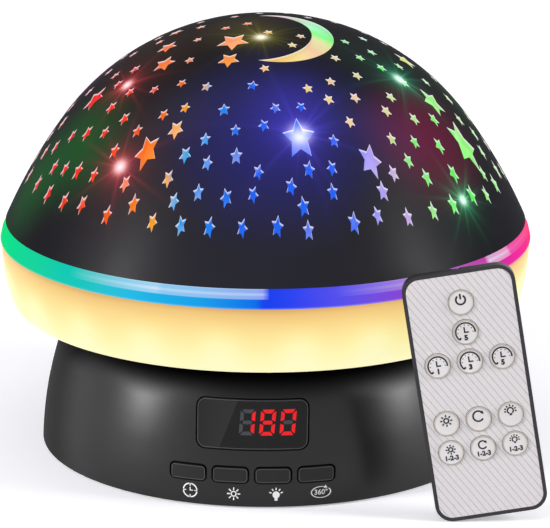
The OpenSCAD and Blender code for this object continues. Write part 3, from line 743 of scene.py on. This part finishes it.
def make_finishes():
    """The finishes by the record's material slot."""
    return {
        "black_housing": housing_with_painted_shadow(),
        "base_cover": moulded("base_cover", "#1f1f21", 0.5, 900.0, 0.2),
        "foot_rubber": moulded("foot_rubber", "#2a2a2a", 0.85, 700.0, 0.35, 0.2),
        "screw_steel": bare_metal("screw_steel", "#c4c6c8", 0.28),
        "smoked_window": smoked_window(),
        "display_black": moulded("display_black", "#18181a", 0.3),
        "receiver_black": moulded("receiver_black", "#0d0d0f", 0.15),
        "circuit_board": circuit_board(),
        "switch_black": moulded("switch_black", "#26262a", 0.45),
        "button_black": moulded("button_black", "#1a1a1b", 0.36, 1500.0, 0.08, 0.25),
        "socket_metal": bare_metal("socket_metal", "#b8babd", 0.25),
        "motor_metal": bare_metal("motor_metal", "#a8abae", 0.35),
        "shaft_steel": bare_metal("shaft_steel", "#9a9da1", 0.2),
        "gear_acetal": moulded("gear_acetal", "#e3dfd2", 0.35, 800.0, 0.05, 0.5),
        "washer_white": moulded("washer_white", "#e8e8e6", 0.4, 900.0, 0.05),
        "lamp_white": moulded("lamp_white", "#e9e9e6", 0.5, 900.0, 0.08),
        "led_board": led_board(),
        "tray_black": moulded("tray_black", "#232326", 0.5, 900.0, 0.15),
        "warm_glow": warm_glow(),
        "rainbow_ring": rainbow_ring(),
        "colour_dome": colour_dome(),
        "star_dome_black": star_dome_black(),
        "remote_case": moulded("remote_case", "#2c2a2d", 0.42, 1500.0, 0.1, 0.3),
        "remote_face": overlay_face(),
        "remote_key": moulded("remote_key", "#e2dedf", 0.4, 1800.0, 0.06, 0.3),
        "key_film": moulded("key_film", "#d0d0cc", 0.4),
        "led_tinted": moulded("led_tinted", "#2a2433", 0.1, 400.0, 0.02, 0.6),
        "cell_steel": bare_metal("cell_steel", "#c0c2c4", 0.22),
    }


# ---------- printed marks and display bars ----------


def add_piece(name, bm, finishes, body):
    """Makes a bmesh a piece with its materials and rides it on a body."""
    mesh = bpy.data.meshes.new(name)
    bm.to_mesh(mesh)
    bm.free()
    mesh.set_sharp_from_angle(angle=math.radians(32))
    for finish in finishes:
        mesh.materials.append(finish.material)
    piece = link(bpy.data.objects.new(name, mesh))
    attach(piece, body)
    return piece


# Shapes on the curved base are cut across at this step, in millimetres
STRIP = 2.0


class Marks:
    """Flat shapes drawn in one plane, in millimetres, that become one thin piece."""

    def __init__(self):
        self.bm = bmesh.new()

    def bar(self, start, end, width, cuts=(0.0, 0.0, 0.0), end_cuts=None):
        """A straight stroke; cuts shorten an end on its right side, middle and left side."""
        along = Vector((*end, 0)) - Vector((*start, 0))
        place = (
            Matrix.Translation((Vector((*start, 0)) + Vector((*end, 0))) / 2)
            @ Matrix.Rotation(math.atan2(along.y, along.x), 4, "Z")
            @ Matrix.Diagonal((along.length / 2, width / 2, 1, 1))
        )
        made = bmesh.ops.create_grid(self.bm, x_segments=1, y_segments=2, size=1)["verts"]
        for vert in made:
            cut = (cuts if vert.co.x < 0 else end_cuts or cuts)[round(vert.co.y) + 1]
            vert.co.x *= 1 - 2 * cut / along.length
        bmesh.ops.transform(self.bm, matrix=place, verts=made)

    def ray(self, x, y, angle, near, far, width):
        """A stroke that points away from a centre."""
        a = math.radians(angle)
        c, s = math.cos(a), math.sin(a)
        self.bar((x + near * c, y + near * s), (x + far * c, y + far * s), width)

    def disc(self, x, y, radius, segments=20, turn=0.0):
        place = Matrix.Translation((x, y, 0)) @ Matrix.Rotation(math.radians(turn), 4, "Z")
        bmesh.ops.create_circle(self.bm, cap_ends=True, segments=segments, radius=radius, matrix=place)

    def arc(self, x, y, radius, width, start=0.0, end=360.0, flat=1.0):
        """A curved stroke from one angle to another, anticlockwise; flat squeezes its height."""
        a, sweep = math.radians(start), end - start
        ends = [
            self.bm.verts.new((x + r * math.cos(a), y + r * math.sin(a), 0))
            for r in (radius - width / 2, radius + width / 2)
        ]
        before = set(self.bm.verts) - set(ends)
        bmesh.ops.spin(
            self.bm, geom=[*ends, self.bm.edges.new(ends)], cent=(x, y, 0), axis=(0, 0, 1),
            angle=math.radians(sweep), steps=max(6, round(sweep / 12)), use_merge=sweep >= 360,
        )
        made = [v for v in self.bm.verts if v not in before]
        bmesh.ops.scale(self.bm, vec=(1, flat, 1), space=Matrix.Translation((-x, -y, 0)), verts=made)

    def frame(self, x, y, width, height, corner, line):
        """The outline of a rectangle with round corners."""
        across, up = width / 2 - corner, height / 2 - corner
        for i, (side_x, side_y) in enumerate(((1, 1), (-1, 1), (-1, -1), (1, -1))):
            self.arc(x + side_x * across, y + side_y * up, corner, line, 90 * i, 90 * i + 90)
        for side in (1, -1):
            self.bar((x - across, y + side * height / 2), (x + across, y + side * height / 2), line)
            self.bar((x + side * width / 2, y - up), (x + side * width / 2, y + up), line)

    def number(self, text, x, y, height, weight=0.02):
        curve = bpy.data.curves.new("number", "FONT")
        curve.body, curve.size, curve.offset = text, height / 0.7, weight * height
        curve.align_x, curve.align_y, curve.fill_mode = "CENTER", "CENTER", "FRONT"
        words = bpy.data.objects.new("number", curve)
        mesh = words.to_mesh()
        mesh.transform(Matrix.Translation((x, y, 0)))
        self.bm.from_mesh(mesh)
        words.to_mesh_clear()
        bpy.data.objects.remove(words)

    def strips(self):
        """Cuts the shapes across both ways so that they can bend."""
        for axis in (0, 1):
            values = [v.co[axis] for v in self.bm.verts]
            for i in range(math.floor(min(values) / STRIP) + 1, math.ceil(max(values) / STRIP)):
                at = [0.0, 0.0, 0.0]
                at[axis] = i * STRIP
                way = [0.0, 0.0, 0.0]
                way[axis] = 1.0
                everything = [*self.bm.verts, *self.bm.edges, *self.bm.faces]
                bmesh.ops.bisect_plane(self.bm, geom=everything, dist=1e-4, plane_co=at, plane_no=way)

    def piece(self, name, finish, body, place, sink, thickness):
        """Thickens the shapes, sinks them a little and puts each point where place(x, y, height) says."""
        bm = self.bm
        bmesh.ops.remove_doubles(bm, verts=bm.verts, dist=1e-3)
        bmesh.ops.delete(bm, geom=[v for v in bm.verts if not v.link_faces], context="VERTS")
        made = bmesh.ops.extrude_face_region(bm, geom=bm.faces[:])["geom"]
        top = [item for item in made if isinstance(item, bmesh.types.BMVert)]
        bmesh.ops.translate(bm, vec=(0, 0, thickness), verts=top)
        for vert in bm.verts:
            vert.co = place(vert.co.x * MM, vert.co.y * MM, (vert.co.z - sink) * MM)
        bmesh.ops.recalc_face_normals(bm, faces=bm.faces)
        return add_piece(name, bm, [finish], body)


def draw_sun(marks, x, y, radius, near, far, width):
    marks.arc(x, y, radius, width)
    for i in range(8):
        marks.ray(x, y, 45 * i, near, far, width)


def draw_bulb(marks, x, y, radius, width, near, far, angles, filled):
    if filled:
        marks.disc(x, y, radius)
    else:
        marks.arc(x, y, radius, width, -62, 242)
    neck = radius * 0.92
    marks.bar((x, y - neck), (x, y - neck - radius * 0.75), radius * 0.85)
    for angle in angles:
        marks.ray(x, y, angle, near, far, width)


def draw_turning(marks, x, y, radius, width, start, end, head, flat=1.0):
    """An open circle with an arrow head at its upper end."""
    marks.arc(x, y, radius, width, start, end, flat)
    a = math.radians(start)
    tip = (x + radius * math.cos(a), y + radius * math.sin(a) * flat)
    marks.disc(*tip, head, 3, start - 180)


# The display's digits, in millimetres: a digit's lower left corner and its bars
DIGIT_X, DIGIT_Z, DIGIT_PITCH = -4.65, 25.55, 7.03
DIGIT_W, DIGIT_H, DIGIT_LEAN = 5.25, 8.65, 0.08
BAR_W, BAR_GAP = 1.25, 0.27
DIGITS = ["bc", "abcdefg", "abcdef"]

# How far the window's face lies below the wall
WINDOW_DEPTH = 0.1 * MM


def digit_bar(marks, left, letter):
    """One of the seven bars, a to g, of a digit whose left side is at left."""
    half, gap, high = BAR_W / 2, BAR_GAP, DIGIT_H / 2
    right = left + DIGIT_W
    corner, waist, pointed = (0.3, half, BAR_W), (0.0, 0.2, 0.5), (0.45, 0.0, 0.45)
    waist_gap, point_gap = 0.42, 0.9
    ends = {
        "a": ((right - gap, DIGIT_H - half), (left + gap, DIGIT_H - half), corner, corner),
        "b": ((right - half, high + waist_gap), (right - half, DIGIT_H - gap), waist, corner),
        "c": ((right - half, gap), (right - half, high - waist_gap), corner, waist),
        "d": ((left + gap, half), (right - gap, half), corner, corner),
        "e": ((left + half, high - waist_gap), (left + half, gap), waist, corner),
        "f": ((left + half, DIGIT_H - gap), (left + half, high + waist_gap), corner, waist),
        "g": ((left + point_gap, high), (right - point_gap, high), pointed, pointed),
    }
    start, end, cuts, end_cuts = ends[letter]
    marks.bar(start, end, BAR_W, cuts, end_cuts)


def on_base(x, z, depth):
    """The place on the front of the base at x and z, depth proud of its surface."""
    return Vector((x, -math.sqrt((base_radius(z) + depth) ** 2 - x * x), z))


def make_display():
    def on_window(x, y, depth):
        return on_base(x + DIGIT_X * MM + DIGIT_LEAN * y, y + DIGIT_Z * MM, depth - WINDOW_DEPTH)

    unlit = moulded("unlit_bar", "#45494c", 0.4, 900.0, 0.05, 0.2)
    for name, finish, shown in (("lit_bars", lit_bar(), True), ("unlit_bars", unlit, False)):
        marks = Marks()
        for i, lit in enumerate(DIGITS):
            for letter in "abcdefg":
                if (letter in lit) == shown:
                    digit_bar(marks, i * DIGIT_PITCH, letter)
        marks.strips()
        marks.piece(name, finish, "base", on_window, 0.04, 0.08)


def draw_clock(marks, x, y):
    for i in range(4):
        marks.arc(x, y, 2.4, 0.46, 90 * i + 8, 90 * i + 82)
        marks.ray(x, y, 90 * i, 1.45, 2.5, 0.34)
    marks.ray(x, y, 90, -0.17, 1.05, 0.34)
    marks.ray(x, y, 0, 0.17, 1.0, 0.34)


# Each mark's middle under the buttons: x and z in millimetres
MARKS_Z = 5.2
CLOCK_X, SUN_X, BULB_X, TURNING_X = -21.5, -6.2, 8.5, 23.9


def make_base_marks():
    print_white = moulded("print_white", "#f4f4f4", 0.5, 900.0, 0.05, 0.2)
    for name in ("clock", "sun", "bulb", "turning"):
        marks = Marks()
        if name == "clock":
            draw_clock(marks, CLOCK_X, MARKS_Z)
        elif name == "sun":
            draw_sun(marks, SUN_X, MARKS_Z - 0.1, 0.85, 1.3, 2.3, 0.4)
        elif name == "bulb":
            draw_bulb(marks, BULB_X, MARKS_Z - 0.25, 1.25, 0.4, 1.7, 2.5, (22, 56, 90, 124, 158), True)
        else:
            draw_turning(marks, TURNING_X, MARKS_Z, 3.3, 0.42, 62, 400, 0.75, 0.6)
            marks.number("360\u00b0", TURNING_X, MARKS_Z - 0.05, 1.75, 0.02)
        marks.strips()
        marks.piece("base_mark_" + name, print_white, "base", on_base, 0.04, 0.09)


# How far the buttons' faces stand out of the wall
BUTTON_PROUD = 0.5 * MM

# The middles of the buttons and of the window, in millimetres
BUTTON_X = {
    "timer_button": -22.2, "warm_light_button": -7.4, "star_light_button": 7.4, "rotation_button": 22.2,
}
BUTTON_Z, WINDOW_Z = 11.8, 29.0

# Each painted highlight line's width, height and corner radius, and its thickness, in millimetres
BUTTON_LINE = (11.5, 4.5, 0.9)
WINDOW_LINE = (37.9, 16.1, 2.65)
LINE_W = 0.24

# What a front piece loses on each side, and the rounding of its front edge
WIDER_GROOVE = 0.2 * MM
ROUNDING = 0.3 * MM

# The front edge is where faces meet at more than this angle in radians, this near the front
SHARP_EDGE = 0.9
FRONT_REACH = 0.15 * MM


def soften_front(node, proud, finish, body):
    """A slightly smaller copy of a node with its front edge rounded, in the node's place."""
    bm = bmesh.new()
    bm.from_mesh(nodes[node].data)
    bmesh.ops.remove_doubles(bm, verts=bm.verts, dist=1e-6)
    low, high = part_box(node)
    size = high - low
    shrink = (1 - 2 * WIDER_GROOVE / size.x, 1, 1 - 2 * WIDER_GROOVE / size.z)
    bmesh.ops.scale(bm, vec=shrink, space=Matrix.Translation(-middle(node)), verts=bm.verts)

    def on_front(vert):
        x, y, z = vert.co
        return y < 0 and abs(math.hypot(x, y) - base_radius(z) - proud) < FRONT_REACH

    rim = [
        e for e in bm.edges
        if len(e.link_faces) == 2 and e.calc_face_angle() > SHARP_EDGE and all(on_front(v) for v in e.verts)
    ]
    bmesh.ops.bevel(
        bm, geom=rim, affect="EDGES", offset=ROUNDING, segments=3, profile=0.5, material=-1,
        clamp_overlap=True,
    )
    for face in bm.faces:
        face.smooth = True
    piece = add_piece(node + "_cap", bm, [finish], body)
    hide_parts(node)


def edge_highlight_line(name, body, x, z, size, proud, finish):
    """The thin painted highlight line just inside the front edge of a button or of the window."""
    marks = Marks()
    marks.frame(x, z, *size, LINE_W)
    marks.strips()
    marks.piece(name, finish, body, lambda u, v, depth: on_base(u, v, depth + proud), 0.05, 0.12)


def make_front_pieces():
    # A lighter grey line stands in for the highlight on each rounded front edge
    painted_highlight = moulded("polished_edge", "#444446", 0.35, 1500.0, 0.05, 0.4)
    for node, x in BUTTON_X.items():
        soften_front(node, BUTTON_PROUD, finishes["button_black"], node)
        edge_highlight_line(node + "_line", node, x, BUTTON_Z, BUTTON_LINE, BUTTON_PROUD, painted_highlight)
    soften_front("display_window", -WINDOW_DEPTH, finishes["smoked_window"], "base")
    edge_highlight_line("window_line", "base", 0, WINDOW_Z, WINDOW_LINE, -WINDOW_DEPTH, painted_highlight)


# ---------- remote keys ----------

# A key's radius, the height of its rim and the height of its face, in millimetres
KEY_R, KEY_T = 4.3, 1.95
KEY_FACE = 1.82


def draw_power(marks):
    marks.arc(0, 1.0, 1.6, 0.62, 124, 416)
    marks.bar((0, 1.2), (0, 3.1), 0.6)


def draw_timer(marks, text):
    marks.arc(0, 0, 3.3, 0.54, -6, 226)
    marks.bar((-2.3, -2.42), (-1.7, -1.75), 0.6)
    for i in range(7):
        a = math.radians(30 * i)
        marks.disc(2.55 * math.cos(a), 2.55 * math.sin(a), 0.19, 8)
    marks.bar((-0.25, -0.25), (-0.25, 1.85), 0.5)
    marks.bar((0.0, 0.0), (1.2, 0.0), 0.5)
    marks.number(text, 0.0, -1.95, 1.7, 0.09)


def draw_levels(marks):
    marks.number("1-2-3", 0.0, -1.85, 1.6, 0.07)


BULB_RAYS = (-8, 22, 55, 90, 125, 158, 188)
KEY_MARKS = {
    "key_power": draw_power,
    "key_timer_short": lambda m: draw_timer(m, "5"),
    "key_timer_1": lambda m: draw_timer(m, "1"),
    "key_timer_2": lambda m: draw_timer(m, "3"),
    "key_timer_3": lambda m: draw_timer(m, "5"),
    "key_warm": lambda m: draw_sun(m, 0, 1.1, 0.82, 1.3, 2.1, 0.5),
    "key_rotate": lambda m: draw_turning(m, 0, 1.1, 1.8, 0.6, 36, 325, 0.72),
    "key_colour": lambda m: draw_bulb(m, 0, 1.4, 1.02, 0.5, 1.5, 2.15, BULB_RAYS, False),
    "key_warm_level": lambda m: (draw_sun(m, 0, 1.2, 0.7, 1.1, 1.75, 0.46), draw_levels(m)),
    "key_speed": lambda m: (draw_turning(m, 0, 1.3, 1.38, 0.52, 36, 325, 0.62), draw_levels(m)),
    "key_colour_level": lambda m: (
        draw_bulb(m, 0, 1.55, 0.82, 0.44, 1.25, 1.8, BULB_RAYS, False), draw_levels(m)
    ),
}


def key_cap(cap, rim, ink, node):
    """A round key with a raised rim line, and its mark printed on top."""
    across, inward, up = remote_axes()
    middle_point = middle(node)

    def on_key(x, y, height):
        return middle_point + across * x + up * y - inward * (height - KEY_T / 2 * MM)

    bm = bmesh.new()
    profile = [
        (0, 0), (KEY_R - 0.1, 0), (KEY_R, 0.1), (KEY_R, KEY_T - 0.12), (KEY_R - 0.08, KEY_T - 0.03),
        (KEY_R - 0.2, KEY_T), (KEY_R - 0.36, KEY_T - 0.03), (KEY_R - 0.46, KEY_FACE), (0, KEY_FACE),
    ]
    verts = [bm.verts.new((r, 0, h)) for r, h in profile]
    edges = [bm.edges.new(pair) for pair in zip(verts, verts[1:])]
    bmesh.ops.spin(
        bm, geom=[*verts, *edges], cent=(0, 0, 0), axis=(0, 0, 1), angle=2 * math.pi, steps=48,
        use_merge=True,
    )
    bmesh.ops.remove_doubles(bm, verts=bm.verts, dist=1e-4)
    for face in bm.faces:
        face.smooth = True
        centre = face.calc_center_median()
        face.material_index = int(centre.z > KEY_FACE and centre.xy.length > KEY_R - 0.5)
    for vert in bm.verts:
        vert.co = on_key(*[value * MM for value in vert.co])
    bmesh.ops.recalc_face_normals(bm, faces=bm.faces)
    piece = add_piece(node + "_cap", bm, [cap, rim], node)
    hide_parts(node)
    marks = Marks()
    KEY_MARKS[node](marks)
    marks.piece(node + "_mark", ink, node, on_key, -KEY_FACE + 0.03, 0.07)


def make_keys(cap):
    rim = moulded("key_rim", "#b9b0a4", 0.45, 1500.0, 0.1, 0.3)
    ink = moulded("print_dark", "#29282a", 0.5, 900.0, 0.05, 0.2)
    for node in KEY_MARKS:
        key_cap(cap, rim, ink, node)


# ---------- stage ----------


def white_share(shade):
    """1 for the rays that see the background: camera, gloss and glass."""
    path = shade.add("LightPath").node.outputs
    gloss_or_glass = shade.math("MAXIMUM", path["Is Glossy Ray"], path["Is Transmission Ray"])
    return shade.math("MAXIMUM", path["Is Camera Ray"], gloss_or_glass)


# The floor's brightness near the lamp and what it gains further out, and the plan
# radii between which it does, in metres
FLOOR_LEVEL, FLOOR_GAIN = 0.39, 0.4
GAIN_START, GAIN_END = 0.3, 1.4

# The world's brightness where it lights things; the background is white
WORLD_LEVEL = 0.32


def make_floor():
    bm = bmesh.new()
    bmesh.ops.create_grid(bm, x_segments=8, y_segments=8, size=12)
    mesh = bpy.data.meshes.new("floor")
    bm.to_mesh(mesh)
    bm.free()
    floor = link(bpy.data.objects.new("floor", mesh))
    f = Finish("floor", roughness=0.9)
    grey = f.noise(f.place, 6.0, 2.0)
    f.set("Base Color", f.mix(grey, colour("#eeeef2"), colour("#f2f2f5")))
    f.set("Specular IOR Level", 0.05)
    f.set("Emission Color", colour("#fbfaff"))
    x, y, _ = f.parts(f.place)
    gain = f.math("MULTIPLY", f.rise(f.length(x, y), GAIN_START, GAIN_END), FLOOR_GAIN)
    level = f.math("ADD", FLOOR_LEVEL, gain)
    f.set("Emission Strength", f.math("MULTIPLY", white_share(f), level))
    mesh.materials.append(f.material)
    floor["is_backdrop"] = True


def make_world():
    world = bpy.data.worlds.new("world")
    world.use_nodes = True
    bpy.context.scene.world = world
    w = Shade(world.node_tree)
    ground = world.node_tree.nodes["Background"]
    level = w.math("ADD", WORLD_LEVEL, w.math("MULTIPLY", white_share(w), 1 - WORLD_LEVEL))
    ground.inputs["Color"].default_value = (1.0, 1.0, 1.0, 1.0)
    w.put(ground, "Strength", level)


def shade_base_from_glow():
    """Keeps the lit bowl, ring and domes from lighting the base, its buttons and the floor."""
    shaded = bpy.data.collections.new("shaded_from_glow")
    for obj in [*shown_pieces(), bpy.data.objects["floor"]]:
        body = body_of(obj)
        if body is None or body[0] == "base" or body[0].endswith("_button"):
            shaded.objects.link(obj)
    for item in shaded.collection_objects:
        item.light_linking.link_state = "EXCLUDE"
    for name in ("warm_diffuser", "rgb_light_ring", "inner_dome", "star_dome"):
        nodes[name].light_linking.receiver_collection = shaded


# ---------- run ----------

make_camera()
make_world()
make_floor()
# Turn and rise in degrees; distance, width and height in metres; power in watts
soft_lamp("left_lamp", -63, 17, 1.3, 0.3, 0.62, 13.5)
soft_lamp("right_lamp", 80, 17, 1.3, 0.3, 0.62, 13.5)
soft_lamp("top_lamp", 0, 88, 1.5, 1.4, 1.4, 4)

finishes = make_finishes()
for node in nodes.values():
    slot = node.material_slots[0]
    slot.material = finishes[slot.material.name.split(".")[0]].material

make_display()
make_base_marks()
make_front_pieces()
make_keys(finishes["remote_key"])
shade_base_from_glow()

bpy.context.scene.view_settings.view_transform = "Standard"
